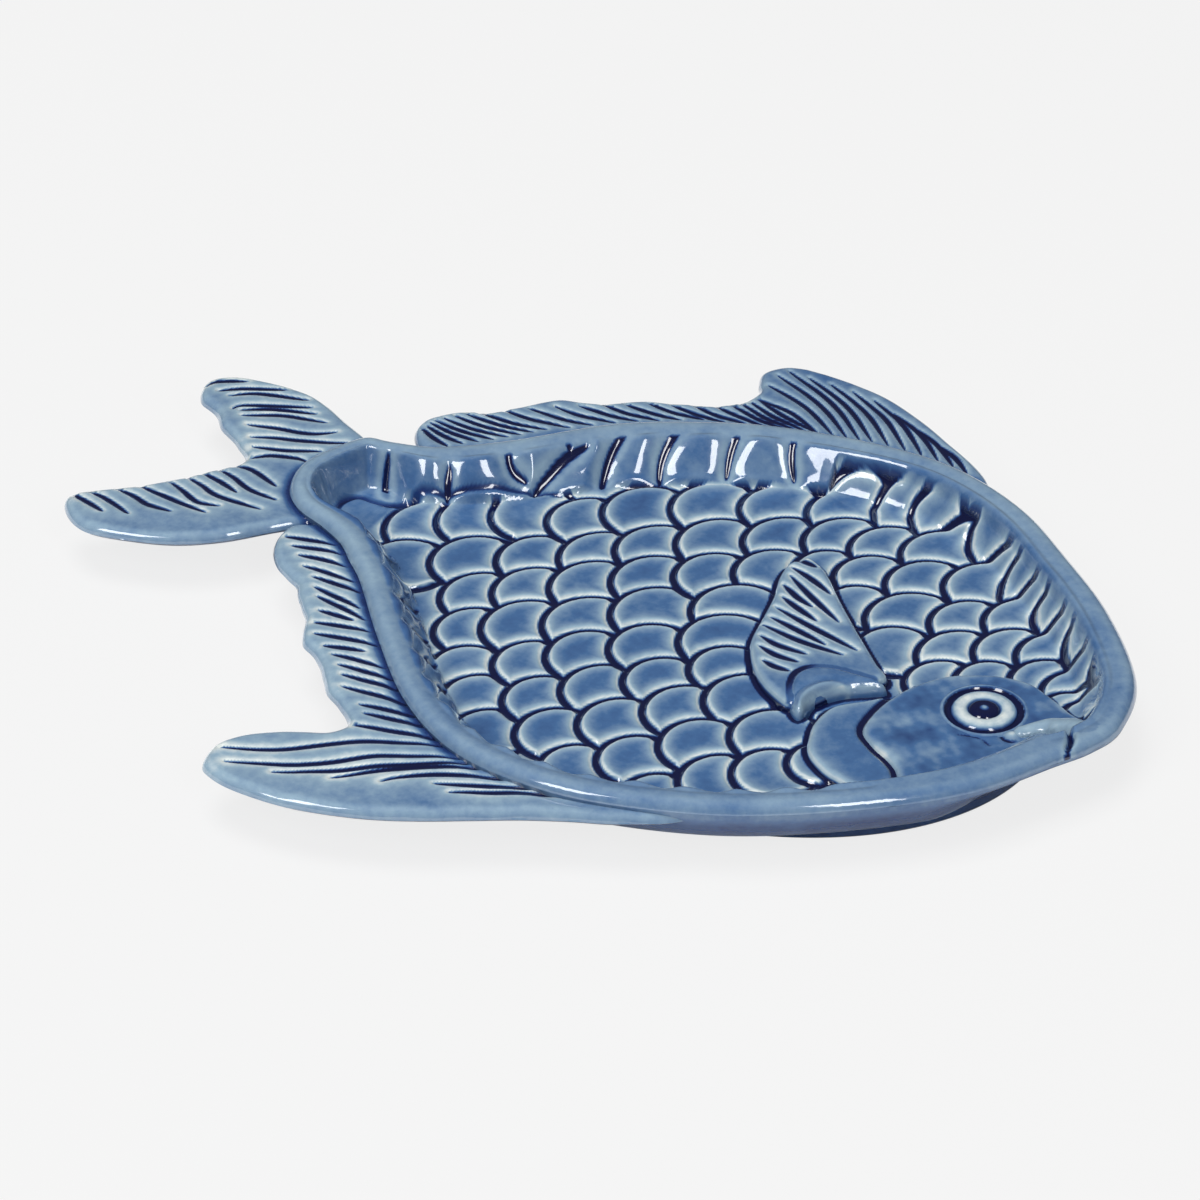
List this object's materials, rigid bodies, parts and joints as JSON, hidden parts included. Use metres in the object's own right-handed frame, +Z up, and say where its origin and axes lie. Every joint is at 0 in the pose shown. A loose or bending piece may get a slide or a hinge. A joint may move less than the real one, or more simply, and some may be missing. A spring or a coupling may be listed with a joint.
{
  "type": "fish shaped platter",
  "caption": "Shallow glazed serving platter shaped as a fish, with a rolled rim, a scaled well, ribbed fins round the edge and a foot ring underneath.",
  "frame": {"origin": "middle of the whole plan, fins included, on the table under the foot ring", "axes": "+X runs from the tail to the nose, +Y to the dorsal fin, +Z up out of the well"},
  "size_m": [0.2848, 0.241, 0.02],
  "materials": {
    "blue_glaze": "glossy translucent blue glaze",
    "pale_blue_glaze": "glossy blue glaze, thin and pale over raised rays",
    "navy_glaze": "glossy pooled navy glaze",
    "cream_glaze": "glossy thin pale glaze"
  },
  "bodies": {
    "root": {"dish_shell": "blue_glaze", "border_scales": "blue_glaze", "floor_scales": "blue_glaze", "foot_ring": "blue_glaze", "tail_fin": "pale_blue_glaze", "dorsal_fin": "pale_blue_glaze", "ventral_fin": "pale_blue_glaze", "breast_fin": "pale_blue_glaze", "breast_fin_root": "blue_glaze", "cheek": "blue_glaze", "gill_cover": "blue_glaze", "eye_ring": "navy_glaze", "eyeball": "cream_glaze", "pupil": "navy_glaze"}
  },
  "joints": []
}
